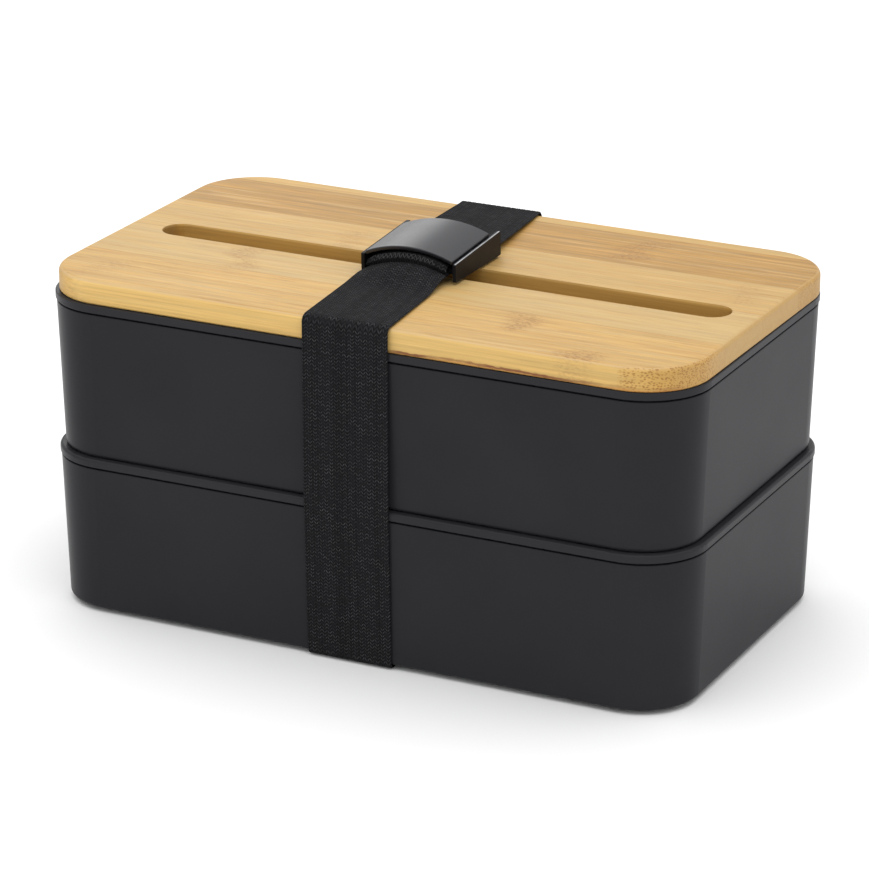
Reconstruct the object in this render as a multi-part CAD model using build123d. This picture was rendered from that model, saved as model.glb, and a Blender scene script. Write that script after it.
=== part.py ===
from build123d import *
import math
import os

# Bento lunch box: two stacked trays, two lids, a bamboo board and an elastic strap with a buckle.
# Units are millimetres. Origin: centre of the footprint, on the surface that the box stands on.
# +X runs along the box's length, +Y to its back, +Z up.

# ---- Driving dimensions ----
LENGTH = 185.0              # over the lids' rim bands
WIDTH = 106.2
CORNER_R = 18.0             # plan radius of the bands' corners

WALL = 2.1                  # tray wall
TRAY_FLOOR = 2.0
DRAFT = 1.9                 # wall draft in degrees
TRAY_H = 40.1               # tray body above its foot ridges
TRAY_INSET = 0.3            # tray rim back from the band above it
EDGE_R = 1.2                # outer bottom edge
SOFT_R = 0.25               # small rounding of moulded edges
INNER_R = 6.0               # rounded inside bottom edge

FOOT_H = 1.1                # foot ridges under each tray
FOOT_T = 2.6
FOOT_INSET = 5.0            # ridge back from the tray's bottom edge
FOOT_FROM_X = 78.5          # the ridges are only at the two ends, so the strap passes between them

GROOVE_H = 0.55             # shadow groove between a tray's rim and the band above it
LIP_T = 1.2                 # inner lip of the rim, which the lid rests on
SEAT_GAP = 0.05             # play between stacked pieces

LOWER_BAND_H = 2.2          # lower lid's band, up to the ledge that carries the upper tray
UPPER_BAND_H = 2.0          # upper lid's band, up to the board
BAND_R = 0.8                # rounded outer edge of the ledge
PANEL_T = 1.8               # lid panel
RECESS_GAP = 0.4            # recess beyond the foot ridges that it takes
PLUG_H = 5.5                # plug skirt that goes down into the tray
PLUG_T = 2.2
PLUG_GAP = 0.7              # skirt to tray wall; the seal fills most of it
SEAL_H = 2.4
SEAL_DEPTH = 1.2            # seal let into the skirt
SEAL_PROUD = 0.35           # seal beyond the skirt
SEAL_DROP = 1.6             # top of the seal below the band

BOARD_H = 6.35
BOARD_INSET = 0.6           # board edge back from the band
BOARD_SHIFT = 0.5           # board a little to the right of the box's middle
BOARD_TURN = -0.3           # and turned by this many degrees
BOARD_EDGE_R = 1.4
BOARD_LOW_R = 0.7
SLOT_W = 10.4               # round-ended groove in the board
SLOT_DEPTH = 4.8
SLOT_LEFT = -81.2           # from the board's middle
SLOT_RIGHT = 83.8
SLOT_Y = -2.75

SCREW_R = 1.2
SCREW_LENGTH = 5.4
SCREW_HEAD_R = 2.3
SCREW_HEAD_H = 1.4
SCREW_X = (-68.0, 0.0, 68.0)
SCREW_Y = 36.0

DIVIDER_X = 18.0
DIVIDER_H = 31.0
DIVIDER_T = 1.6
DIVIDER_FOOT = 12.0         # flange that stands against the tray's floor and walls
DIVIDER_GAP = 0.4

STRAP_T = 0.85
STRAP_GAP = 0.15            # strap to the mouldings under it
STRAP_BEND_R = 1.4
# Strap edges in plan, from the front face to the back face. The strap lies a little askew.
STRAP_STATIONS = (-52.5, -15.5, -13.6, 13.6, 16.0, 52.5)
STRAP_LEFT = (-11.8, -14.7, -13.6, -13.6, -15.9, -18.2)
STRAP_RIGHT = (12.5, 9.3, 9.3, 9.3, 9.7, 5.4)

BUCKLE_X = -1.7
BUCKLE_W = 27.4             # across the strap
BUCKLE_L = 27.0             # along the strap
BUCKLE_WALL = 0.9
BUCKLE_BASE_T = 0.8
BUCKLE_TILT = 1.2           # degrees: the buckle leans, its right side a little higher
BUCKLE_FRONT_H = 4.9        # side wall heights above the board
BUCKLE_BACK_H = 6.5
BAR_Y = -10.6               # front bar, which the strap is sewn round
BAR_L = 2.6
BAR_H = 1.3
BAR_GAP = 0.1
BAR_ARCH = 3.3              # rise of the bar, and of the strap round it, at the middle
RAMP_Y = -26.0              # the strap starts to rise into the arch
ARCHED_Y = -15.0            # and is fully arched
FOLD_FRONT_Y = -13.9        # end of the strap's sewn fold
PLATE_FRONT_Y = -5.0        # base plate, from behind the bar to the frame's back
TAIL_Y = 3.0                # end of the strap's clamped end, inside the buckle
TAIL_RISE = 1.45            # clamped end above the level of the front run

LEVER_T = 1.1
LEVER_RISE = 0.7            # cover's edges above the side walls
LEVER_GAP = 0.3             # lever to side walls
LEVER_EDGE_R = 0.3
LEVER_ARCH = 2.6            # rise of the arched cover across its width
LEVER_FRONT_Y = -13.4
LEVER_BACK_Y = 9.0
PIN_Y = 7.4
PIN_H = 4.8                 # pin above the frame's underside
PIN_R = 0.8
PIN_PLAY = 0.06
PIN_COVER = 0.5             # side wall left over each end of the pin
HUB_R = 1.8
CAM_DROP = 0.35             # cam lobe below the hub, over the strap's clamped end

# ---- Levels, from the floor up ----
LOWER_BASE = FOOT_H
LOWER_RIM = LOWER_BASE + TRAY_H
LOWER_BAND = LOWER_RIM + GROOVE_H
LEDGE = LOWER_BAND + LOWER_BAND_H
UPPER_BASE = LEDGE + SEAT_GAP
UPPER_RIM = UPPER_BASE + TRAY_H
UPPER_BAND = UPPER_RIM + GROOVE_H
BOARD_BASE = UPPER_BAND + UPPER_BAND_H
BOARD_TOP = BOARD_BASE + BOARD_H
STRAP_LEVEL = BOARD_TOP + STRAP_GAP
PIN_Z = STRAP_LEVEL + PIN_H

TAN_DRAFT = math.tan(math.radians(DRAFT))
TRAY_FOOTPRINT = -TRAY_INSET - TRAY_H * TAN_DRAFT    # offset of the tray's bottom edge from the band


# ---- Shared shapes ----
def outline(offset, z):
    """Rounded-rectangle outline of the box, grown by offset, at height z."""
    shape = RectangleRounded(LENGTH + 2 * offset, WIDTH + 2 * offset, CORNER_R + offset)
    return Pos(0, 0, z) * shape


def drum(z_low, z_high, offset_low, offset_high=None):
    """Solid between two outlines, straight or drafted."""
    if offset_high is None:
        return extrude(outline(offset_low, z_low), z_high - z_low)
    return loft([outline(offset_low, z_low), outline(offset_high, z_high)], ruled=True)


def ring(z_low, z_high, outer, inner):
    return drum(z_low, z_high, outer) - drum(z_low, z_high, inner)


def ends_only(shape):
    """The part of a shape beyond FOOT_FROM_X at both ends of the box."""
    middle = Box(2 * FOOT_FROM_X, 2 * WIDTH, 4 * LENGTH)
    return shape - middle


def arch(half, edge_z, thickness, rise):
    """Cross-section for the XZ plane, arched across its width, thickness downwards."""
    top = ThreePointArc((-half, edge_z), (0, edge_z + rise), (half, edge_z))
    low = edge_z - thickness
    bottom = ThreePointArc((-half, low), (0, low + rise), (half, low))
    sides = [Line((x, edge_z), (x, low)) for x in (-half, half)]
    return make_face([top, bottom] + sides)


def inner_offset(height):
    """Offset of the tray's inner wall at a height above the tray's base."""
    return TRAY_FOOTPRINT + height * TAN_DRAFT - WALL


# ---- Trays ----
def tray(base):
    lip_top = TRAY_H + GROOVE_H - SEAT_GAP
    body = drum(base, base + TRAY_H, TRAY_FOOTPRINT, -TRAY_INSET)
    body = fillet(body.faces().sort_by(Axis.Z)[0].edges(), EDGE_R)
    body = fillet(body.faces().sort_by(Axis.Z)[-1].edges(), SOFT_R)
    lip = drum(base + TRAY_H, base + lip_top, inner_offset(TRAY_H) + LIP_T)
    mouth = base + lip_top
    cavity = drum(base + TRAY_FLOOR, mouth, inner_offset(TRAY_FLOOR), inner_offset(lip_top))
    cavity = fillet(cavity.faces().sort_by(Axis.Z)[0].edges(), INNER_R)
    foot_outer = TRAY_FOOTPRINT - FOOT_INSET
    feet = ends_only(ring(base - FOOT_H, base, foot_outer, foot_outer - FOOT_T))
    shell = body + lip - cavity
    shell = fillet(shell.faces().sort_by(Axis.Z)[-1].edges(), SOFT_R)
    return shell + feet


def divider(base):
    """Lift-out wall with a U-shaped flange against the tray's floor and side walls."""
    low = base + TRAY_FLOOR + DIVIDER_GAP
    high = low + DIVIDER_H
    half_low = WIDTH / 2 + inner_offset(low - base) - DIVIDER_GAP
    half_high = WIDTH / 2 + inner_offset(high - base) - DIVIDER_GAP
    corners = [(-half_low, low), (half_low, low), (half_high, high), (-half_high, high)]
    plate = Plane.YZ * make_face(Polyline(*corners, close=True))
    flange = extrude(plate, DIVIDER_FOOT / 2, both=True)
    flange = fillet(flange.edges().filter_by(Axis.X).sort_by(Axis.Z)[:2], INNER_R)
    inner = [(-half_low + DIVIDER_T, low + DIVIDER_T), (half_low - DIVIDER_T, low + DIVIDER_T),
             (half_high - DIVIDER_T, high + 1), (-half_high + DIVIDER_T, high + 1)]
    hollow = extrude(Plane.YZ * make_face(Polyline(*inner, close=True)), DIVIDER_FOOT, both=True)
    hollow = fillet(hollow.edges().filter_by(Axis.X).sort_by(Axis.Z)[:2], INNER_R - DIVIDER_T)
    wall = flange & Box(DIVIDER_T, 2 * WIDTH, 4 * LENGTH)
    return Pos(DIVIDER_X, 0, 0) * (flange - hollow + wall)


# ---- Lids ----
def plug(band, panel_top):
    """Panel and skirt of a lid whose band starts at height band, with the groove for its seal."""
    outer = -TRAY_INSET - WALL - PLUG_GAP
    skirt_outer = outer - PLUG_H * TAN_DRAFT
    body = drum(band - PLUG_H, band, skirt_outer, outer)
    body += drum(band, panel_top, outer)
    hollow = drum(band - PLUG_H, panel_top - PANEL_T, skirt_outer - PLUG_T)
    groove = ring(band - SEAL_DROP - SEAL_H, band - SEAL_DROP, 0, outer - SEAL_DEPTH)
    return body - hollow - groove


def lower_lid():
    recess_floor = LEDGE - FOOT_H - 2 * SEAT_GAP
    rim = drum(LOWER_BAND, LEDGE, 0)
    rim = fillet(rim.faces().sort_by(Axis.Z)[-1].edges(), BAND_R)
    rim = fillet(rim.faces().sort_by(Axis.Z)[0].edges(), SOFT_R)
    recess = drum(recess_floor, LEDGE, TRAY_FOOTPRINT - FOOT_INSET + RECESS_GAP)
    return rim + plug(LOWER_BAND, recess_floor) - recess


def upper_lid():
    rim = drum(UPPER_BAND, BOARD_BASE, 0)
    rim = fillet(rim.edges().filter_by(Plane.XY), SOFT_R)
    hollow = drum(UPPER_BAND, BOARD_BASE - PANEL_T, -TRAY_INSET - WALL - PLUG_GAP - PLUG_T)
    lid = rim - hollow + plug(UPPER_BAND, BOARD_BASE)
    return lid - screw_shanks()


def seal(band):
    """Silicone ring with a rounded outer bead, seated in the groove of the skirt."""
    outer = -TRAY_INSET - WALL - PLUG_GAP
    z_low = band - SEAL_DROP - SEAL_H
    body = drum(z_low, z_low + SEAL_H, outer + SEAL_PROUD - SEAL_H * TAN_DRAFT)
    body = fillet(body.edges().filter_by(Plane.XY), SEAL_H * 0.4)
    return body - drum(z_low, z_low + SEAL_H, outer - SEAL_DEPTH)


# ---- Board and its screws ----
def screw_places():
    return [(x, y) for x in SCREW_X for y in (-SCREW_Y, SCREW_Y)]


def screw_shanks():
    base = BOARD_BASE - PANEL_T
    shanks = [Pos(x, y, base + SCREW_LENGTH / 2) * Cylinder(SCREW_R, SCREW_LENGTH)
              for x, y in screw_places()]
    return Compound(shanks)


def screws():
    solids = []
    base = BOARD_BASE - PANEL_T
    for x, y in screw_places():
        shank = Pos(x, y, base + SCREW_LENGTH / 2) * Cylinder(SCREW_R, SCREW_LENGTH)
        head = Pos(x, y, base - SCREW_HEAD_H / 2) * Cylinder(SCREW_HEAD_R, SCREW_HEAD_H)
        head = fillet(head.edges().sort_by(Axis.Z)[0], SCREW_HEAD_H * 0.5)
        cross = Box(2.6, 0.6, 1.4) + Box(0.6, 2.6, 1.4)
        solids.append(shank + head - Pos(x, y, base - SCREW_HEAD_H) * cross)
    return Compound(solids)


def board():
    body = drum(BOARD_BASE, BOARD_TOP, -BOARD_INSET)
    body = fillet(body.faces().sort_by(Axis.Z)[-1].edges(), BOARD_EDGE_R)
    body = fillet(body.faces().sort_by(Axis.Z)[0].edges(), BOARD_LOW_R)
    slot = SlotOverall(SLOT_RIGHT - SLOT_LEFT, SLOT_W)
    place = Pos((SLOT_LEFT + SLOT_RIGHT) / 2, SLOT_Y, BOARD_TOP)
    body -= place * extrude(slot, -SLOT_DEPTH)
    return Pos(BOARD_SHIFT, 0, 0) * Rot(0, 0, BOARD_TURN) * body - screw_shanks()


# ---- Strap ----
def parallel(points, distance):
    """Corner points of a line parallel to a polyline, at a distance to its left."""
    moved = []
    for i, (y, z) in enumerate(points):
        normals = []
        for a, b in ((i - 1, i), (i, i + 1)):
            if a >= 0 and b < len(points):
                run = Vector(points[b][0] - points[a][0], points[b][1] - points[a][1]).normalized()
                normals.append(Vector(-run.Y, run.X))
        bisector = sum(normals[1:], normals[0]).normalized()
        reach = distance / bisector.dot(normals[0])
        moved.append((y + bisector.X * reach, z + bisector.Y * reach))
    return moved


def band_profile(points, radii):
    """Strap cross-section in the YZ plane: thickness to the left of a filleted path."""
    inner = FilletPolyline(*points, radius=radii)
    outside = []
    for i, radius in enumerate(radii):
        a, b, c = (Vector(*p) for p in points[i:i + 3])
        turns_left = (b - a).cross(c - b).Z > 0
        outside.append(radius - STRAP_T if turns_left else radius + STRAP_T)
    moved = parallel(points, STRAP_T)
    outer = FilletPolyline(*moved, radius=outside)
    caps = [Line(points[0], moved[0]), Line(points[-1], moved[-1])]
    return Plane.YZ * make_face([inner, outer] + caps)


def strap_plan():
    """Prism with the strap's outline in plan."""
    reach = WIDTH
    left = list(zip(STRAP_LEFT, STRAP_STATIONS))
    right = list(zip(STRAP_RIGHT, STRAP_STATIONS))
    points = [(STRAP_LEFT[0], -reach)] + left + [(STRAP_LEFT[-1], reach), (STRAP_RIGHT[-1], reach)]
    points += right[::-1] + [(STRAP_RIGHT[0], -reach)]
    prism = extrude(make_face(Polyline(*points, close=True)), 2 * BOARD_TOP)
    return Pos(0, 0, -BOARD_TOP / 2) * prism


def whole_strap():
    """The strap from its sewn fold at the buckle, down the front, under, up the back, to its tail."""
    side = WIDTH / 2 + STRAP_GAP
    foot = side + TRAY_FOOTPRINT
    under = FOOT_H - STRAP_GAP
    # The path runs on the face that lies against the box.
    path = [(-foot, under), (-side, LEDGE), (-side, STRAP_LEVEL), (RAMP_Y, STRAP_LEVEL)]
    tail = STRAP_LEVEL + TAIL_RISE
    path = path[::-1] + [(foot, under), (side, LEDGE), (side, STRAP_LEVEL), (side - 4, STRAP_LEVEL),
                         (BUCKLE_L / 2 + 1, tail), (TAIL_Y, tail)]
    radii = [STRAP_BEND_R, 30, STRAP_BEND_R, STRAP_BEND_R, 30, STRAP_BEND_R, 20, 20]
    profile = band_profile(path[::-1], radii[::-1])
    return extrude(profile, LENGTH / 4, both=True)


def bar_arch(y, top, thickness):
    """Section at a station along the buckle, on the arch that the bar and the strap round it share."""
    section = arch((BUCKLE_W - BUCKLE_WALL) / 2, top, thickness, BAR_ARCH)
    return Plane.XZ.offset(-y) * Pos(BUCKLE_X, 0) * section


def arched_end():
    """The strap's front end: it rises into an arch, goes under the bar and is sewn back over it."""
    low = STRAP_LEVEL + STRAP_T
    high = low + BAR_H + 2 * BAR_GAP + STRAP_T
    back = BAR_Y + BAR_L / 2 + BAR_GAP
    flat = Plane.XZ.offset(-RAMP_Y) * Pos(BUCKLE_X, 0) * arch(BUCKLE_W / 2, low, STRAP_T, 0.02)
    ramp = loft([flat, leaning(bar_arch(ARCHED_Y, low, STRAP_T))], ruled=True)
    lower_layer = extrude(bar_arch(ARCHED_Y, low, STRAP_T), ARCHED_Y - back)
    upper_layer = extrude(bar_arch(FOLD_FRONT_Y, high, STRAP_T), FOLD_FRONT_Y - back)
    bend = extrude(bar_arch(back, high, high - STRAP_LEVEL), -STRAP_T)
    hem = extrude(bar_arch(FOLD_FRONT_Y, high, high - STRAP_LEVEL), -STRAP_T)
    return ramp + leaning(lower_layer + upper_layer + bend + hem)


def strap_pieces():
    """The strap cut at the heights where the stacked pieces part."""
    strap = (whole_strap() + arched_end()) & strap_plan()
    cuts = (-BOARD_TOP, LOWER_RIM + GROOVE_H / 2, LEDGE + SEAT_GAP / 2, UPPER_RIM + GROOVE_H / 2,
            2 * BOARD_TOP)
    pieces = []
    for low, high in zip(cuts, cuts[1:]):
        slab = Pos(0, 0, (low + high) / 2) * Box(LENGTH, 2 * WIDTH, high - low)
        pieces.append(Compound((strap & slab).solids()))
    return pieces


# ---- Buckle ----
def buckle_frame():
    """Base plate, two side walls that rise to the back, and the front bar."""
    base = STRAP_LEVEL
    half_l = BUCKLE_L / 2
    side = [(-half_l, base), (half_l, base), (half_l, base + BUCKLE_BACK_H), (-half_l, base + BUCKLE_FRONT_H)]
    wall = extrude(Plane.YZ * make_face(Polyline(*side, close=True)), BUCKLE_WALL)
    wall = fillet(wall.edges().filter_by(Axis.X), BUCKLE_WALL * 0.4)
    left = Pos(BUCKLE_X - BUCKLE_W / 2, 0, 0) * wall
    right = Pos(BUCKLE_X + BUCKLE_W / 2 - BUCKLE_WALL, 0, 0) * wall
    bar_top = STRAP_LEVEL + STRAP_T + BAR_GAP + BAR_H
    bar = extrude(bar_arch(BAR_Y, bar_top, BAR_H), BAR_L / 2, both=True)
    plate_l = half_l - PLATE_FRONT_Y
    plate = Box(BUCKLE_W - BUCKLE_WALL, plate_l, BUCKLE_BASE_T)
    plate = Pos(BUCKLE_X, PLATE_FRONT_Y + plate_l / 2, base + BUCKLE_BASE_T / 2) * plate
    return left + right + bar + plate - buckle_pin()


def across(sketch, y, z, half_width):
    """A YZ sketch carried across the buckle's width, centred on it."""
    return Pos(BUCKLE_X, 0, 0) * extrude(Plane.YZ * Pos(y, z) * sketch, half_width, both=True)


def buckle_pin():
    return across(Circle(PIN_R), PIN_Y, PIN_Z, BUCKLE_W / 2 - PIN_COVER)


def sloped_cover(half, edge_z, thickness):
    """The arch run along the buckle, rising to the back like the side walls."""
    body = extrude(Plane.XZ * arch(half, edge_z, thickness, LEVER_ARCH), LEVER_FRONT_Y - LEVER_BACK_Y)
    slope = math.degrees(math.atan2(BUCKLE_BACK_H - BUCKLE_FRONT_H, BUCKLE_L))
    hinge_line = Axis((0, LEVER_FRONT_Y, edge_z), (1, 0, 0))
    return Pos(BUCKLE_X, 0, 0) * (Pos(0, LEVER_FRONT_Y, 0) * body).rotate(hinge_line, slope)


def buckle_lever():
    """Arched cover, hub on the pin and cam lobe that presses on the strap's clamped end."""
    half = BUCKLE_W / 2 - BUCKLE_WALL - LEVER_GAP
    edge_z = STRAP_LEVEL + BUCKLE_FRONT_H + LEVER_RISE
    cover = sloped_cover(half, edge_z, LEVER_T)
    cover = fillet(cover.edges(), LEVER_EDGE_R)
    below_top = sloped_cover(half, edge_z, BUCKLE_BACK_H)
    web = across(Pos(0, LEVER_ARCH) * Rectangle(HUB_R * 1.6, 2 * LEVER_ARCH), PIN_Y, PIN_Z, half)
    hub = across(Circle(HUB_R), PIN_Y, PIN_Z, half)
    cam = across(Circle(HUB_R), PIN_Y - CAM_DROP / 2, PIN_Z - CAM_DROP, half)
    bore = across(Circle(PIN_R + PIN_PLAY), PIN_Y, PIN_Z, BUCKLE_W)
    return cover + (web & below_top) + hub + cam - bore


def leaning(shape):
    """The buckle's lean, about the bottom edge of its left wall."""
    edge = Axis((BUCKLE_X - BUCKLE_W / 2, 0, STRAP_LEVEL), (0, 1, 0))
    return shape.rotate(edge, -BUCKLE_TILT)


def build():
    lower_run, lid_run, side_run, top_run = strap_pieces()
    return {
        "lower_tray": tray(LOWER_BASE),
        "lower_tray_divider": divider(LOWER_BASE),
        "lower_lid": lower_lid(),
        "lower_lid_seal": seal(LOWER_BAND),
        "upper_tray": tray(UPPER_BASE),
        "upper_tray_divider": divider(UPPER_BASE),
        "upper_lid": upper_lid(),
        "upper_lid_seal": seal(UPPER_BAND),
        "bamboo_board": board(),
        "board_screws": screws(),
        "strap_lower_run": lower_run,
        "strap_lid_run": lid_run,
        "strap_side_run": side_run,
        "strap_top_run": top_run,
        "buckle_frame": leaning(buckle_frame()),
        "buckle_lever": leaning(buckle_lever()),
        "buckle_pin": leaning(buckle_pin()),
    }


os.makedirs("parts", exist_ok=True)
for name, shape in build().items():
    export_step(shape, f"parts/{name}.step")
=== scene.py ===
"""Bento lunch box: the looks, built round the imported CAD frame.

Blender lengths are metres. The strap is worked out in millimetres and scaled when its mesh is made.
"""
import math

import bpy
import numpy as np
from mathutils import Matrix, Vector, noise


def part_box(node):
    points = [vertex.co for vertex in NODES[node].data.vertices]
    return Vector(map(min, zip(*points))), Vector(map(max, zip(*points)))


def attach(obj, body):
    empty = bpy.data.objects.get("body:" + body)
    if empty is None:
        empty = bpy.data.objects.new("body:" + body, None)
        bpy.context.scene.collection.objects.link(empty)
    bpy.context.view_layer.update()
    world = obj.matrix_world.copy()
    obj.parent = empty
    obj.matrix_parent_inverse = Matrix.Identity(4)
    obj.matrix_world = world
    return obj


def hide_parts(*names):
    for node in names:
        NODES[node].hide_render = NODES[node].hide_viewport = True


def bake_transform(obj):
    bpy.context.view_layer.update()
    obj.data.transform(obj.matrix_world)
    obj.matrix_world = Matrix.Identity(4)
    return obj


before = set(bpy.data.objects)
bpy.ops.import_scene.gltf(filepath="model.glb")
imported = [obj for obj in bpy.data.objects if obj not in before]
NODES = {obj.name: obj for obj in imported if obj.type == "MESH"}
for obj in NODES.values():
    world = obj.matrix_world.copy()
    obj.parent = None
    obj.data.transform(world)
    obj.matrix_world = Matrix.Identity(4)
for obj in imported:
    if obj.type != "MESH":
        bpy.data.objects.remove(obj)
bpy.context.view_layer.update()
MM = 0.001


def box_mm(node):
    """Lowest and highest corners of a CAD node, in millimetres."""
    low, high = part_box(node)
    return low / MM, high / MM


BOARD_LOW, BOARD_HIGH = box_mm("bamboo_board")
_, STRAP_HIGH = box_mm("strap_top_run")
UNDER_LOW, _ = box_mm("strap_lower_run")
_, LID_RUN_HIGH = box_mm("strap_lid_run")

# ---- Shared sizes of the buckle's arched bar, in millimetres ----
ARCH_X = -1.7               # middle
ARCH_HALF = 13.25           # half width
ARCH_RISE = 3.3
ARCH_LEAN = math.sin(math.radians(1.2))

# ---- Camera: placed round the box's vertical axis ----
CAMERA_AZIMUTH = math.radians(26.2)
CAMERA_ELEVATION = math.radians(20.2)
CAMERA_DISTANCE = 1.110
CAMERA_TARGET = Vector((-6.1, 10.7, 41.2)) * MM
LENS = 170.9


def add_camera():
    data = bpy.data.cameras.new("camera")
    data.lens = LENS
    data.sensor_width = 36
    data.clip_start, data.clip_end = 0.05, 20
    camera = bpy.data.objects.new("camera", data)
    flat = math.cos(CAMERA_ELEVATION)
    back = Vector((math.sin(CAMERA_AZIMUTH) * flat, -math.cos(CAMERA_AZIMUTH) * flat,
                   math.sin(CAMERA_ELEVATION)))
    camera.location = CAMERA_TARGET + back * CAMERA_DISTANCE
    camera.rotation_euler = back.to_track_quat("Z", "Y").to_euler()
    bpy.context.scene.collection.objects.link(camera)
    bpy.context.scene.camera = camera


# ---- Node helpers ----
def linear(*srgb):
    """Linear colour with alpha from 0-255 display values."""
    shares = [c / 255 for c in srgb]
    return tuple(((s + 0.055) / 1.055) ** 2.4 if s > 0.04 else s / 12.92 for s in shares) + (1.0,)


class Material:
    """A material and short ways to add nodes to it."""

    def __init__(self, name, **constants):
        self.material = bpy.data.materials.new(name)
        self.material.use_nodes = True
        self.tree = self.material.node_tree
        self.shader = self.tree.nodes["Principled BSDF"]
        for key, value in constants.items():
            self.shader.inputs[key.replace("_", " ")].default_value = value
        place = self.node("ShaderNodeTexCoord").outputs["Object"]
        self.mm = self.vector("SCALE", place, scale=1 / MM)

    def node(self, kind, inputs=None, **settings):
        made = self.tree.nodes.new(kind)
        for key, value in settings.items():
            setattr(made, key, value)
        for key, value in (inputs or {}).items():
            if isinstance(value, bpy.types.NodeSocket):
                self.tree.links.new(value, made.inputs[key])
            else:
                made.inputs[key].default_value = value
        return made

    def math(self, operation, *values):
        return self.node("ShaderNodeMath", dict(enumerate(values)), operation=operation).outputs[0]

    def times(self, first, *others):
        """Product of numbers, of which at least one is an output."""
        for other in others:
            first = self.math("MULTIPLY", first, other)
        return first

    def absolute(self, value):
        return self.math("ABSOLUTE", value)

    def vector(self, operation, *values, scale=None):
        inputs = dict(enumerate(values))
        if scale is not None:
            inputs["Scale"] = scale
        return self.node("ShaderNodeVectorMath", inputs, operation=operation).outputs[0]

    def split(self, vector):
        return self.node("ShaderNodeSeparateXYZ", {0: vector}).outputs

    def normal(self):
        """X, Y and Z of the surface's direction."""
        return self.split(self.node("ShaderNodeNewGeometry").outputs["Normal"])

    def noise(self, vector, scale, detail=2.0, roughness=0.5):
        inputs = {"Vector": vector, "Scale": scale, "Detail": detail, "Roughness": roughness}
        return self.node("ShaderNodeTexNoise", inputs).outputs["Fac"]

    def stretched(self, vector, factors, **settings):
        """Noise that is stretched: factors are its frequencies per millimetre along each axis."""
        return self.noise(self.vector("MULTIPLY", vector, factors), 1.0, **settings)

    def range(self, value, low, high, to_low=0.0, to_high=1.0, smooth=False):
        kind = "SMOOTHSTEP" if smooth else "LINEAR"
        inputs = {"Value": value, "From Min": low, "From Max": high, "To Min": to_low, "To Max": to_high}
        return self.node("ShaderNodeMapRange", inputs, interpolation_type=kind).outputs[0]

    def steps(self, value, stops):
        """Colours that change in steps: each stop is a value and the colour from there on."""
        made = self.node("ShaderNodeValToRGB", {0: value})
        ramp = made.color_ramp
        ramp.interpolation = "CONSTANT"
        while len(ramp.elements) < len(stops):
            ramp.elements.new(0.5)
        for element, (position, color) in zip(ramp.elements, stops):
            element.position = position
            element.color = color
        return made.outputs[0]

    def mix(self, factor, a, b, kind="MIX"):
        made = self.node("ShaderNodeMix", data_type="RGBA", blend_type=kind)
        for index, value in ((0, factor), (6, a), (7, b)):
            if isinstance(value, bpy.types.NodeSocket):
                self.tree.links.new(value, made.inputs[index])
            else:
                made.inputs[index].default_value = value
        return made.outputs[2]

    def scaled(self, color, value):
        """A colour made lighter or darker by a number's output."""
        return self.vector("SCALE", color, scale=value)

    def bump(self, height, distance, strength=1.0):
        inputs = {"Height": height, "Distance": distance, "Strength": strength}
        made = self.node("ShaderNodeBump", inputs).outputs["Normal"]
        self.tree.links.new(made, self.shader.inputs["Normal"])

    def use(self, **sockets):
        for key, value in sockets.items():
            self.tree.links.new(value, self.shader.inputs[key.replace("_", " ")])


def give(material, *names):
    for name in names:
        NODES[name].data.materials.clear()
        NODES[name].data.materials.append(material)


# ---- Materials ----
def moulded_plastic(name, color, index, roughness):
    """Satin polypropylene: fine moulded grain, faint clouding in colour and gloss."""
    made = Material(name, IOR=index)
    clouds = made.noise(made.mm, 0.035, detail=3)
    grain = made.noise(made.mm, 3.2, detail=2)
    specks = made.noise(made.mm, 0.9, detail=4, roughness=0.7)
    paler = tuple(c * 1.5 for c in color[:3]) + (1,)
    specked = made.mix(made.range(specks, 0.62, 0.78, 0, 0.25), color, paler)
    made.use(Base_Color=made.scaled(specked, made.range(clouds, 0.3, 0.7, 0.94, 1.06)))
    cloudy_gloss = made.range(clouds, 0.3, 0.7, roughness - 0.03, roughness + 0.03)
    made.use(Roughness=made.math("ADD", cloudy_gloss, made.range(grain, 0.3, 0.7, -0.03, 0.03)))
    made.bump(grain, 0.00002, 0.35)
    return made.material


def buckle_metal():
    """Black paint on pressed metal, with a painted highlight along the top of the right side wall."""
    made = Material("buckle_metal", IOR=1.2)
    x, _, _ = made.split(made.mm)
    clouds = made.noise(made.mm, 0.3, detail=4)
    grain = made.noise(made.mm, 4.0, detail=2)
    right_wall = made.range(made.math("SUBTRACT", x, ARCH_X), ARCH_HALF - 0.25, ARCH_HALF - 0.05)
    facing_up = made.range(made.normal()[2], 0.55, 0.95)
    # Painted highlight: the upward-facing top of the right side wall is painted pale grey.
    painted_highlight = made.times(facing_up, right_wall, made.range(clouds, 0.35, 0.6, 0.7, 1))
    paint = made.mix(clouds, linear(15, 15, 17), linear(24, 24, 26))
    made.use(Base_Color=made.mix(painted_highlight, paint, linear(158, 159, 162)))
    cloudy_gloss = made.range(clouds, 0.3, 0.7, 0.38, 0.46)
    made.use(Roughness=made.math("ADD", cloudy_gloss, made.range(grain, 0.3, 0.7, -0.03, 0.03)))
    made.bump(grain, 0.00002, 0.4)
    return made.material


def silicone():
    made = Material("grey_silicone", Specular_IOR_Level=0.35)
    clouds = made.noise(made.mm, 0.12, detail=3)
    tone = made.range(clouds, 0.3, 0.7)
    made.use(Base_Color=made.mix(tone, linear(142, 143, 146), linear(156, 157, 160)))
    made.use(Roughness=made.range(clouds, 0.3, 0.7, 0.5, 0.62))
    made.bump(made.noise(made.mm, 2.5, detail=3), 0.00003, 0.4)
    return made.material


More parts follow.
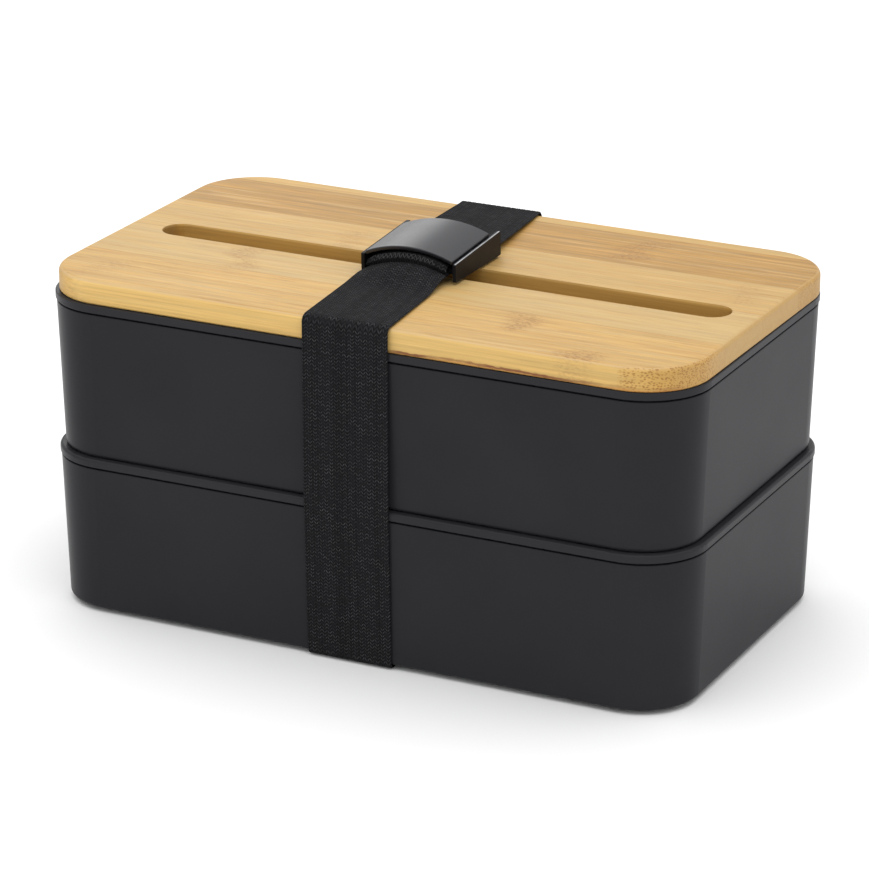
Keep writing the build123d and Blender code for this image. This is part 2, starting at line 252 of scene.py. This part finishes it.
def turned_steel():
    made = Material("screw_steel", Metallic=1.0)
    rings = made.stretched(made.mm, (7.0, 7.0, 0.6), detail=2)
    made.use(Base_Color=made.mix(rings, linear(150, 150, 152), linear(190, 190, 193)))
    made.use(Roughness=made.range(rings, 0.3, 0.7, 0.28, 0.42))
    made.bump(rings, 0.00002, 0.4)
    return made.material


# ---- Bamboo board, in millimetres ----
# Strips from the board's front to its back: tone, strength of the grain.
STRIPS = (
    ((215, 174, 104), 0.95),
    ((213, 179, 117), 0.7),
    ((212, 174, 108), 0.8),
    ((185, 142, 74), 1.3),
    ((212, 174, 106), 0.9),
)
STRIP_PITCH = 24.3
STRIP_ORIGIN = -50.6        # Y of the first strip's front edge
STRONGEST = 1.5             # the grain strengths are kept below this
GLUE_CORE = 0.06            # half widths of a glue line, where it is full and where it ends
GLUE_EDGE = 0.18
# Knuckles of the cane: X, Y of the middle, half width in Y, strength.
KNUCKLES = ((-47.0, -17.0, 9.0, 0.55), (38.5, -33.0, 7.0, 0.8), (63.0, -51.0, 5.5, 1.0),
            (42.0, 34.5, 9.5, 0.9), (-30.0, 10.0, 8.0, 0.35), (-12.0, 50.0, 6.0, 0.6),
            (80.0, 12.0, 9.0, 0.3), (-78.0, -40.0, 8.0, 0.3))
KNUCKLE_WANDER = 4          # along X
SLOT_Y = -2.75              # the slot's middle line where X is 0, and its slope
SLOT_SLOPE = -0.0052
SLOT_HALF = 5.6
SLOT_REACH = 86             # the slot's ends lie within this distance of X 0
SKIN_HEIGHT = 0.85          # line of skin above the board's lower edge
BOARD_TONE = 0.715          # all of the board's tones under this light
GOLD = linear(208, 158, 82)
CREAM = linear(222, 190, 135)
HAIR = linear(150, 104, 50)
FLECK = linear(146, 96, 44)
KNUCKLE_TAN = linear(196, 150, 84)
GLUE = linear(140, 96, 48)
# Painted highlight colour of the rounded top edge.
PAINTED_EDGE_HIGHLIGHT = linear(232, 200, 150)
END_GOLD = linear(222, 172, 88)
END_DOT = linear(158, 102, 40)
SKIN = linear(128, 62, 36)
UNDER_SKIN = linear(214, 138, 62)
SIDE_TINT = (0.98, 0.94, 0.68, 1)
END_TINT = (0.84, 0.76, 0.56, 1)
# Painted shade inside the routed slot.
SLOT_SHADE_TINT = (0.69, 0.63, 0.50, 1)


def glued_strips(made, y):
    """The glued strips: their tone, strength of grain, own piece of the grain and glue lines."""
    count = len(STRIPS)
    across = made.math("SUBTRACT", made.math("MAXIMUM", y, STRIP_ORIGIN + 1), STRIP_ORIGIN)
    place = made.math("DIVIDE", across, STRIP_PITCH * count)
    tones = [(i / count, linear(*tone)) for i, (tone, _) in enumerate(STRIPS)]
    shares = [power / STRONGEST for _, power in STRIPS]
    powers = [(i / count, (share, share, share, 1)) for i, share in enumerate(shares)]
    tone = made.steps(place, tones)
    strength = made.times(made.steps(place, powers), STRONGEST)
    in_strips = made.times(place, count)
    index = made.math("FLOOR", in_strips)
    shift = made.node("ShaderNodeCombineXYZ", {0: made.times(index, 137.3), 1: made.times(index, 53.9)})
    coord = made.vector("ADD", made.mm, shift.outputs[0])
    from_middle = made.absolute(made.math("SUBTRACT", made.math("FRACT", in_strips), 0.5))
    glue = made.range(from_middle, 0.5 - GLUE_EDGE / STRIP_PITCH, 0.5 - GLUE_CORE / STRIP_PITCH, 0, 0.35)
    return tone, strength, coord, glue


def knuckles(made, x, y):
    """Where the cane's knuckles lie."""
    wave = made.stretched(made.mm, (0.02, 0.1, 0.1), detail=1)
    wander = made.range(wave, 0.3, 0.7, -KNUCKLE_WANDER, KNUCKLE_WANDER)
    found = None
    for middle_x, middle_y, half, power in KNUCKLES:
        along = made.absolute(made.math("ADD", made.math("SUBTRACT", x, middle_x), wander))
        across = made.absolute(made.math("SUBTRACT", y, middle_y))
        near = made.times(made.range(along, 1.0, 6.5, power, 0, smooth=True),
                          made.range(across, half - 3, half + 2, 1, 0, smooth=True))
        found = near if found is None else made.math("MAXIMUM", found, near)
    return found


def cane_grain(made, tone, strength, coord, knuckle):
    """Colour of the fibres, golden and creamy streaks, dark hairs and mottled knuckles.

    Also gives the middle streaks, the fibres and the hairs, for the gloss and the relief."""
    broad = made.stretched(coord, (0.016, 0.33, 0.33), detail=2)
    middle = made.stretched(coord, (0.05, 0.95, 0.95), detail=3, roughness=0.65)
    fibres = made.stretched(coord, (0.055, 4.2, 4.2), detail=3, roughness=0.65)
    hairs = made.stretched(coord, (0.07, 1.5, 1.5), detail=3, roughness=0.7)
    hairs = made.range(hairs, 0.55, 0.68)
    flecks = made.stretched(coord, (0.9, 2.2, 2.2), detail=3, roughness=0.7)
    flecks = made.range(flecks, 0.46, 0.6)
    golden = made.range(made.stretched(coord, (0.03, 0.6, 0.6), detail=3), 0.45, 0.65, 0, 0.6)
    creamy = made.range(made.stretched(coord, (0.03, 0.8, 0.8), detail=3), 0.52, 0.7, 0, 0.45)
    light = made.math("ADD", made.range(broad, 0.25, 0.75, -0.09, 0.09),
                      made.range(middle, 0.3, 0.7, -0.11, 0.11))
    light = made.math("ADD", light, made.range(fibres, 0.25, 0.75, -0.13, 0.13))
    light = made.math("MULTIPLY_ADD", light, strength, 1.0)
    color = made.mix(made.times(golden, strength), tone, GOLD)
    color = made.mix(creamy, color, CREAM)
    color = made.scaled(color, light)
    color = made.mix(made.times(hairs, strength, 0.36), color, HAIR)
    color = made.mix(made.times(knuckle, flecks, 0.85), color, FLECK)
    color = made.mix(made.times(knuckle, 0.25), color, KNUCKLE_TAN)
    return color, middle, fibres, hairs


def cut_faces(made, color, coord, x, y, z):
    """Painted highlight on the rounded top edge; deeper yellow on the long sides, which are also painted
    lighter as painted light; tan on the ends.

    The first strip's corner is cut across the fibres, which show there as dense golden dots."""
    facing_x, facing_y, facing_z = made.normal()
    # Painted highlight: the rounded top edge is painted pale.
    rounded = made.times(made.range(facing_z, 0.98, 0.85, 0, 0.6),
                         made.range(z, BOARD_HIGH[2] - 13, BOARD_HIGH[2] - 3))
    color = made.mix(rounded, color, PAINTED_EDGE_HIGHLIGHT)
    side = made.range(made.absolute(facing_y), 0.55, 0.85)
    end = made.range(made.absolute(facing_x), 0.25, 0.7)
    yellow = made.mix(1.0, color, SIDE_TINT, "MULTIPLY")
    streaks = made.stretched(coord, (0.016, 0.5, 1.6), detail=3, roughness=0.6)
    yellow = made.scaled(yellow, made.range(streaks, 0.3, 0.7, 0.84, 1.10))
    # The long sides' deeper yellow is their own colour; their brightening, stronger at the left, is painted
    # light.
    color = made.mix(side, color, made.scaled(yellow, made.range(x, -20, 60, 1.27, 1.2)))
    color = made.mix(end, color, made.mix(1.0, color, END_TINT, "MULTIPLY"))

    cells = made.vector("MULTIPLY", made.mm, (0.6, 1.0, 1.1))
    dots = made.node("ShaderNodeTexVoronoi", {"Vector": cells, "Scale": 1.75, "Randomness": 0.85})
    dots = made.range(dots.outputs["Distance"], 0.24, 0.52, 1, 0)
    cut = made.times(made.range(made.absolute(facing_x), 0.03, 0.12), made.range(facing_z, 0.93, 0.8))
    clear = made.math("MAXIMUM", made.range(y, -36, -29, 0.7, 0.1), made.range(y, 22, 23, 0.1, 0.35))
    clear = made.times(clear, made.range(x, 0, 10))
    color = made.mix(made.times(cut, made.times(clear, 0.6)), color, END_GOLD)
    return made.mix(made.times(cut, dots, clear), color, END_DOT)


def skin_line(made, color, x, y, z):
    """Reddish line of the cane's skin just above the front's lower edge, at its right."""
    on_front = made.times(made.range(y, BOARD_LOW[1] + 6, BOARD_LOW[1] + 9, 1, 0), made.range(x, 6, 14))
    wander = made.range(made.stretched(made.mm, (0.07, 0.05, 0.05), detail=2), 0.3, 0.7, -0.35, 0.35)
    above = made.math("SUBTRACT", made.math("SUBTRACT", z, BOARD_LOW[2] + SKIN_HEIGHT), wander)
    ragged = made.range(made.stretched(made.mm, (0.5, 0.3, 2.0), detail=4), 0.3, 0.7, -0.2, 0.2)
    line = made.range(made.absolute(made.math("ADD", above, ragged)), 0.18, 0.5, 1, 0)
    broken = made.range(made.stretched(made.mm, (0.12, 0.1, 0.1), detail=2), 0.35, 0.55, 0.35, 1)
    fading = made.range(x, 55, 75, 0.85, 0.3)
    color = made.mix(made.times(made.times(line, broken), made.times(on_front, fading)), color, SKIN)
    below = made.times(made.range(above, -0.2, -0.4, 0, 0.5), on_front)
    return made.mix(below, color, UNDER_SKIN)


def slot_painted_shade(made, color, x, y, z):
    """Painted shade: the routed slot is darkened inside."""
    from_middle = made.math("SUBTRACT", y, made.math("MULTIPLY_ADD", x, SLOT_SLOPE, SLOT_Y))
    deep = made.range(z, BOARD_HIGH[2] - 0.8, BOARD_HIGH[2] - 0.3, 1, 0)
    inside = made.times(deep, made.range(made.absolute(from_middle), SLOT_HALF, SLOT_HALF + 0.4, 1, 0))
    inside = made.times(inside, made.range(made.absolute(x), SLOT_REACH, SLOT_REACH + 2, 1, 0))
    return made.mix(inside, color, made.mix(1.0, color, SLOT_SHADE_TINT, "MULTIPLY"))


def bamboo():
    """Laminated bamboo, with its strips along X."""
    made = Material("laminated_bamboo", Specular_IOR_Level=0.32)
    x, y, z = made.split(made.mm)
    tone, strength, coord, glue = glued_strips(made, y)
    color, middle, fibres, hairs = cane_grain(made, tone, strength, coord, knuckles(made, x, y))
    color = made.mix(glue, color, GLUE)
    color = cut_faces(made, color, coord, x, y, z)
    color = skin_line(made, color, x, y, z)
    color = slot_painted_shade(made, color, x, y, z)
    made.use(Base_Color=made.scaled(color, BOARD_TONE))
    made.use(Roughness=made.range(middle, 0.3, 0.7, 0.46, 0.58))
    made.bump(made.math("ADD", fibres, made.times(hairs, -0.5)), 0.00004, 0.45)
    return made.material


# ---- Weave of the elastic, in millimetres ----
COLUMN_PITCH = 1.53         # chevrons across the strap
ROW_PITCH = 0.95            # rows along it
CHEVRON = 0.95              # rise of the slanting ribs over half a column, in rows
SELVEDGE = 0.9              # width of the plain woven edge
RELIEF = 0.09               # height of the ribs


def elastic():
    """Woven elastic. Its UVs are millimetres across and along the strap, so they follow the stretch."""
    made = Material("woven_elastic", Specular_IOR_Level=0.1)
    uv = made.node("ShaderNodeTexCoord").outputs["UV"]
    u, v, _ = made.split(uv)
    column_at = made.times(u, 1 / COLUMN_PITCH)
    chevron = made.absolute(made.math("MULTIPLY_ADD", made.math("FRACT", column_at), 2.0, -1.0))
    row_at = made.math("MULTIPLY_ADD", chevron, CHEVRON, made.times(v, 1 / ROW_PITCH))
    rib = made.math("COSINE", made.times(row_at, 2 * math.pi))
    seam = made.range(made.absolute(made.math("SUBTRACT", chevron, 0.5)), 0.24, 0.44)
    pit = made.math("MAXIMUM", made.range(rib, 0.0, -0.9), made.times(seam, 0.55))
    crown = made.times(made.range(rib, 0.1, 0.9), made.range(seam, 0, 1, 1, 0.05))
    # Every rib of the weave has its own chance, and some columns are darkened as painted shade, as if they
    # sat deeper than others.
    column = made.math("ROUND", made.times(column_at, 2.0))
    row = made.math("ROUND", row_at)
    cell = made.node("ShaderNodeCombineXYZ", {0: column, 1: row}).outputs[0]
    chance = made.node("ShaderNodeTexWhiteNoise", {"Vector": cell}, noise_dimensions="2D").outputs["Value"]
    column_shade = made.node("ShaderNodeTexWhiteNoise", {"W": column}, noise_dimensions="1D").outputs["Value"]
    patches = made.noise(uv, 0.35, detail=3)
    own_place = made.vector("ADD", uv, (3.0, 5.0, 0.0))
    yarn = made.stretched(own_place, (5.0, 3.4, 1.0), detail=3, roughness=0.7)
    shadow = made.times(pit, made.range(chance, 0, 1, 0.5, 1))
    color = made.mix(shadow, linear(32, 32, 34), linear(7, 7, 8))
    glint = made.times(made.range(patches, 0.4, 0.62, 0.55, 1), made.range(chance, 0.15, 0.9))
    color = made.mix(made.times(crown, glint), color, linear(70, 70, 72))
    color = made.scaled(color, made.range(yarn, 0.3, 0.7, 0.72, 1.28))
    # Painted shade: the chosen columns are darkened.
    color = made.scaled(color, made.range(column_shade, 0.2, 0.5, 0.82, 1.0))
    made.use(Base_Color=color)
    made.use(Roughness=made.range(yarn, 0.3, 0.7, 0.8, 0.95))
    made.bump(made.math("MULTIPLY_ADD", rib, 0.8, yarn), 0.00009, 0.6)
    return made.material


def thread():
    made = Material("sewing_thread", Specular_IOR_Level=0.3)
    twist = made.stretched(made.mm, (6.0, 6.0, 6.0), detail=2)
    made.use(Base_Color=made.mix(twist, linear(40, 40, 42), linear(84, 84, 86)))
    made.use(Roughness=made.range(twist, 0.3, 0.7, 0.6, 0.8))
    made.bump(twist, 0.00005, 0.5)
    return made.material


# ---- Strap: one woven elastic band, in millimetres ----
# It is cut into pieces where its stretch passes from body to body.
STRAP_W = 24.3
STRAP_T = 0.85
EDGE_ROUND = 0.4            # rounding of the selvedges
STRAP_GAP = 0.15            # clearance under the strap on the board
GRID = 0.24                 # spacing of the mesh's points on the outer face
INNER_COLUMNS = 15          # points across the inner face
BEND_STEPS = 16             # steps round each bend of the path
FOOT_LEAN = 1.63            # the strap leans in with the tray's draft at the bottom
BEND_R = 1.4
WAIST_R = 30                # bend at the lower lid, where the lean starts
# Loop round the buckle's bar, with heights above the strap's underside on the board.
LOOP_BACK = -8.35           # outer back of the loop
LOOP_TOP = 3.2
LOOP_BEND = -13.45          # where its top layer turns down to the sewn end
LOOP_END = (-14.3, 1.75)    # the sewn end: Y, height
LOOP_R = 1.55
END_R = 0.45
ARCH_FROM_Y = -27.0         # the strap on the board starts to rise onto the bar's arch here
ARCH_FULL_Y = -14.8
TAIL_END = (3.0, 1.45)      # the clamped end inside the buckle: Y, height
TAIL_START = 14.5
TAIL_R = 20
# Edges in plan along the top, from the front face to the back one, as in the CAD.
STATIONS = (-54.0, -52.5, -16.5, -13.4, 13.4, 16.5, 52.5, 54.0)
LEFT_EDGE = (-11.8, -11.8, -14.7, -13.6, -13.6, -15.9, -18.2, -18.2)
RIGHT_EDGE = (12.5, 12.5, 9.35, 9.3, 9.3, 9.75, 5.4, 5.4)
STRETCH_LOW = 30            # the lower piece starts to stretch at this height
CUT_LOW = 40.0              # heights where the pieces meet
CUT_HIGH = 64.0
STRETCH_HIGH = 90           # the upper piece stretches up to this height


def rounded_path(corners, radii, step):
    """Evenly spaced points along a YZ path with rounded corners, their unit tangents and distances."""
    dense = [np.array(corners[0], float)]
    for before, corner, after, radius in zip(corners, corners[1:], corners[2:], radii):
        corner = np.array(corner, float)
        back = np.array(before, float) - corner
        onward = np.array(after, float) - corner
        back /= np.linalg.norm(back)
        onward /= np.linalg.norm(onward)
        half = math.acos(max(-1.0, min(1.0, float(back @ onward)))) / 2
        reach = radius / math.tan(half)
        middle = corner + (back + onward) / np.linalg.norm(back + onward) * (radius / math.sin(half))
        start = corner + back * reach - middle
        side = corner + onward * reach - middle
        swept = math.pi - 2 * half
        for k in range(BEND_STEPS + 1):
            t = k / BEND_STEPS
            turned = start * math.sin((1 - t) * swept) + side * math.sin(t * swept)
            dense.append(middle + turned / math.sin(swept))
    dense.append(np.array(corners[-1], float))
    dense = np.array(dense)
    gone = np.concatenate([[0], np.cumsum(np.linalg.norm(np.diff(dense, axis=0), axis=1))])
    count = int(round(gone[-1] / step)) + 1
    at = np.linspace(0, gone[-1], count)
    points = np.stack([np.interp(at, gone, dense[:, i]) for i in (0, 1)], axis=1)
    tangents = np.gradient(points, axis=0)
    tangents /= np.linalg.norm(tangents, axis=1)[:, None]
    return points, tangents, at


def smooth(value, low, high):
    t = np.clip((value - low) / (high - low), 0, 1)
    return t * t * (3 - 2 * t)


def weave_height(u, s, half):
    """Height of the herringbone face above its mean, at u across and s along."""
    chevron = np.abs(2 * (u / COLUMN_PITCH - np.floor(u / COLUMN_PITCH)) - 1)
    rib = np.cos(2 * np.pi * (s / ROW_PITCH + CHEVRON * chevron))
    seam = smooth(np.abs(chevron - 0.5), 0.25, 0.5)
    plain = smooth(half - np.abs(u), SELVEDGE * 0.6, SELVEDGE * 1.3)
    fine = 0.3 * np.cos(4 * np.pi * s / ROW_PITCH)
    return (0.6 * rib * (1 - 0.5 * seam) - 0.35 * seam) * plain + fine * (1 - plain)


def arch_height(x):
    """Rise of the bar's arch above the board, with its lean."""
    return ARCH_RISE * (1 - ((x - ARCH_X) / ARCH_HALF) ** 2) + (x - ARCH_X + ARCH_HALF) * ARCH_LEAN


def edge_in_plan(edge, y, top, to_back):
    """X of a strap edge. Under the box the strap runs straight from the front to the back."""
    straight = edge[0] + (edge[-1] - edge[0]) * to_back
    x = top * np.interp(y, STATIONS, edge) + (1 - top) * straight
    return np.convolve(np.pad(x, 4, mode="edge"), np.ones(9) / 9, mode="valid")


def strap_surface():
    """Rows of the whole strap's cross-section, along its length: points, UVs and the path."""
    level = BOARD_HIGH[2] + STRAP_GAP
    side = STRAP_HIGH[1] - STRAP_T
    foot = side - FOOT_LEAN
    under = UNDER_LOW[2] + STRAP_T
    lid = LID_RUN_HIGH[2]
    loop = [(LOOP_END[0], level + LOOP_END[1]), (LOOP_BEND, level + LOOP_TOP),
            (LOOP_BACK, level + LOOP_TOP), (LOOP_BACK, level)]
    front = [(-side, level), (-side, lid), (-foot, under)]
    back = [(-y, z) for y, z in reversed(front)]
    tail = [(side - 4, level), (TAIL_START, level + TAIL_END[1]), (TAIL_END[0], level + TAIL_END[1])]
    bends = [BEND_R, WAIST_R, BEND_R]
    radii = [END_R, LOOP_R, LOOP_R, *bends, *bends, TAIL_R, TAIL_R]
    points, tangents, along = rounded_path(loop + front + back + tail, radii, GRID)
    outward = np.stack([tangents[:, 1], -tangents[:, 0]], axis=1)
    y, z = points[:, 0], points[:, 1]
    top = smooth(z, level - 12, level - 2)
    to_back = np.clip((y + side) / (2 * side), 0, 1)
    left = edge_in_plan(LEFT_EDGE, y, top, to_back)
    right = edge_in_plan(RIGHT_EDGE, y, top, to_back)
    half = STRAP_W / 2
    u_outer = np.linspace(-half, half, int(round(STRAP_W / GRID)) + 1)
    u_inner = np.linspace(half, -half, INNER_COLUMNS)
    ring_u = np.concatenate([u_outer, u_inner])
    is_outer = np.concatenate([np.ones(len(u_outer)), np.zeros(len(u_inner))])
    s_grid = along[:, None]
    u_grid = ring_u[None, :]
    # Patches where the knit stands out more or less.
    patch = np.array([[noise.noise(Vector((u * 0.16, s * 0.13, 4.2))) for u in ring_u] for s in along[::8]])
    patch = np.repeat(patch, 8, axis=0)[:len(along)]
    relief = RELIEF * (1 + 0.3 * patch)
    into_edge = np.clip(np.abs(u_grid) - (half - EDGE_ROUND), 0, EDGE_ROUND) / EDGE_ROUND
    rounding = np.sqrt(np.clip(1 - into_edge ** 2, 0, 1))
    thickness = STRAP_T * (0.5 + 0.5 * rounding)
    lift = thickness + relief * weave_height(u_grid, s_grid, half) * rounding - RELIEF * 0.4
    inner_lift = STRAP_T * 0.5 * (1 - rounding)
    height = np.where(is_outer[None, :] > 0, lift, inner_lift)
    x = (left[:, None] + right[:, None]) / 2 + u_grid / STRAP_W * (right - left)[:, None]
    yy = y[:, None] + outward[:, 0][:, None] * height
    zz = z[:, None] + outward[:, 1][:, None] * height
    # Near the buckle the strap rises onto the arch of the bar.
    in_front = (y < -5) & (z > level - 1) & (along < along[np.argmax(z < level - 5)])
    looped = along < along[np.argmax(y >= LOOP_BACK - 0.3)] + LOOP_TOP + 1.0
    share = np.where(looped, 1.0, smooth(y, ARCH_FROM_Y, ARCH_FULL_Y)) * in_front
    zz = zz + share[:, None] * arch_height(x)
    points3 = np.stack([x, yy, zz], axis=2)
    uvs = np.stack([np.broadcast_to(u_grid, x.shape), np.broadcast_to(s_grid, x.shape)], axis=2)
    return points3, uvs, z, y, along


def strap_piece(name, points, uvs, material):
    """Closed tube from rows of cross-sections."""
    rows, ring, _ = points.shape
    mesh = bpy.data.meshes.new(name)
    faces = []
    for r in range(rows - 1):
        a, b = r * ring, (r + 1) * ring
        faces += [(a + k, a + (k + 1) % ring, b + (k + 1) % ring, b + k) for k in range(ring)]
    faces.append(tuple(range(ring))[::-1])
    faces.append(tuple((rows - 1) * ring + k for k in range(ring)))
    mesh.from_pydata((points.reshape(-1, 3) * MM).tolist(), [], faces)
    layer = mesh.uv_layers.new(name="UVMap")
    corner_vertex = np.zeros(len(mesh.loops), np.int32)
    mesh.loops.foreach_get("vertex_index", corner_vertex)
    layer.data.foreach_set("uv", uvs.reshape(-1, 2)[corner_vertex].astype(np.float32).ravel())
    mesh.polygons.foreach_set("use_smooth", np.ones(len(mesh.polygons), bool))
    mesh.materials.append(material)
    mesh.update()
    piece = bpy.data.objects.new(name, mesh)
    bpy.context.scene.collection.objects.link(piece)
    return piece


def add_strap():
    points, uvs, z, y, along = strap_surface()
    material = elastic()
    bottom = int(np.argmin(z + np.abs(y) * 1e-3))
    front = np.arange(len(z)) < bottom
    top_end = along[np.argmax(y < -STRAP_HIGH[1] + STRAP_T + 0.01)]
    down = front & (along >= top_end)
    high_front = int(np.argmax(down & (z <= CUT_HIGH)))
    low_front = int(np.argmax(down & (z <= CUT_LOW)))
    low_back = int(np.argmax(~front & (z >= CUT_LOW)))
    high_back = int(np.argmax(~front & (z >= CUT_HIGH)))
    cuts = {
        "strap_upper_front": (0, high_front), "strap_mid_front": (high_front, low_front),
        "strap_lower": (low_front, low_back), "strap_mid_back": (low_back, high_back),
        "strap_upper_back": (high_back, len(z) - 1),
    }
    # Piece: bodies below and above it, heights where its stretch starts and ends, CAD nodes that it
    # replaces.
    spans = {
        "strap_lower": ("strap_under", "strap_rim", STRETCH_LOW, CUT_LOW, ["strap_lower_run"]),
        "strap_mid": ("strap_rim", "strap_sides", CUT_LOW, CUT_HIGH, ["strap_lid_run"]),
        "strap_upper": ("strap_sides", "strap_top", CUT_HIGH, STRETCH_HIGH,
                        ["strap_side_run", "strap_top_run"]),
    }
    for name, (first, last) in cuts.items():
        piece = strap_piece(name, points[first:last + 1], uvs[first:last + 1], material)
        below, above, start, end, nodes = spans[name.removesuffix("_front").removesuffix("_back")]
        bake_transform(piece)
        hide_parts(*nodes)


STITCH_POINTS = 57
STITCH_HALF = 8.4           # half length of the row along X, in millimetres
STITCH_SWING = 0.34         # half width of the zigzag, as a share of the sewn end's slope
THREAD_R = 0.1


def add_stitches():
    """Zigzag row that sews the strap's end down in front of the buckle's bar."""
    level = BOARD_HIGH[2] + STRAP_GAP
    middle = (np.interp(-14.0, STATIONS, LEFT_EDGE) + np.interp(-14.0, STATIONS, RIGHT_EDGE)) / 2
    curve = bpy.data.curves.new("fold_stitches", "CURVE")
    curve.dimensions = "3D"
    curve.bevel_depth = THREAD_R * MM
    curve.bevel_resolution = 2
    spline = curve.splines.new("POLY")
    spline.points.add(STITCH_POINTS - 1)
    for i in range(STITCH_POINTS):
        x = middle - STITCH_HALF + 2 * STITCH_HALF * i / (STITCH_POINTS - 1)
        share = 0.5 + STITCH_SWING * (0, 1, 0, -1)[i % 4]
        y = LOOP_END[0] + share * (LOOP_BEND - LOOP_END[0]) - 0.07
        z = level + LOOP_END[1] + share * (LOOP_TOP - LOOP_END[1]) + arch_height(x) + 0.05
        spline.points[i].co = (x * MM, y * MM, z * MM, 1)
    source = bpy.data.objects.new("fold_stitches_path", curve)
    bpy.context.scene.collection.objects.link(source)
    bpy.context.view_layer.update()
    mesh = bpy.data.meshes.new_from_object(source.evaluated_get(bpy.context.evaluated_depsgraph_get()))
    bpy.data.objects.remove(source)
    mesh.materials.clear()
    mesh.materials.append(thread())
    piece = bpy.data.objects.new("fold_stitches", mesh)
    bpy.context.scene.collection.objects.link(piece)
    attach(piece, "strap_top")


# ---- Stage and light ----
def add_light(name, place, target, power, size):
    data = bpy.data.lights.new(name, "AREA")
    data.energy = power
    data.shape = "RECTANGLE"
    data.size, data.size_y = size
    light = bpy.data.objects.new(name, data)
    light.location = place
    light.rotation_euler = (Vector(target) - Vector(place)).to_track_quat("-Z", "Y").to_euler()
    light.visible_camera = False
    bpy.context.scene.collection.objects.link(light)


FLOOR_REACH = 4.0           # half width of the floor, in metres
WORLD_STRENGTH = 0.95


def add_stage():
    mesh = bpy.data.meshes.new("floor")
    corners = [(x * FLOOR_REACH, y * FLOOR_REACH, 0) for x, y in ((-1, -1), (1, -1), (1, 1), (-1, 1))]
    mesh.from_pydata(corners, [], [(0, 1, 2, 3)])
    floor = bpy.data.objects.new("floor", mesh)
    bpy.context.scene.collection.objects.link(floor)
    white = Material("floor_white", Roughness=0.8, Specular_IOR_Level=0.1)
    clouds = white.noise(white.mm, 0.01)
    white.use(Base_Color=white.mix(clouds, (0.86, 0.86, 0.86, 1), (0.88, 0.88, 0.88, 1)))
    mesh.materials.append(white.material)
    world = bpy.data.worlds.new("world")
    bpy.context.scene.world = world
    world.use_nodes = True
    background = world.node_tree.nodes["Background"]
    background.inputs["Color"].default_value = (1, 1, 1, 1)
    background.inputs["Strength"].default_value = WORLD_STRENGTH
    add_light("overhead", (0, 0, 2.2), (0, 0, 0), 40, (3.0, 3.0))
    add_light("rim", (-0.62, 0.96, 0.47), (0, 0, 0.09), 0.45, (0.3, 0.3))
    bpy.context.scene.view_settings.view_transform = "Standard"


add_camera()
add_stage()
tray_plastic = moulded_plastic("black_polypropylene", linear(41, 41, 44), 1.15, 0.34)
# Painted light: the lids' copy of the black plastic is a touch lighter than the trays', for the light on
# their bands.
lid_plastic_painted_lighter = moulded_plastic("black_polypropylene_lids_painted_lighter", linear(43, 43, 46), 1.18, 0.34)
cover_plastic = moulded_plastic("buckle_cover", linear(20, 21, 26), 1.53, 0.3)
give(tray_plastic, "lower_tray", "upper_tray", "lower_tray_divider", "upper_tray_divider")
give(lid_plastic_painted_lighter, "lower_lid", "upper_lid")
give(cover_plastic, "buckle_lever")
give(buckle_metal(), "buckle_frame")
give(silicone(), "lower_lid_seal", "upper_lid_seal")
give(turned_steel(), "board_screws", "buckle_pin")
give(bamboo(), "bamboo_board")
add_strap()
add_stitches()
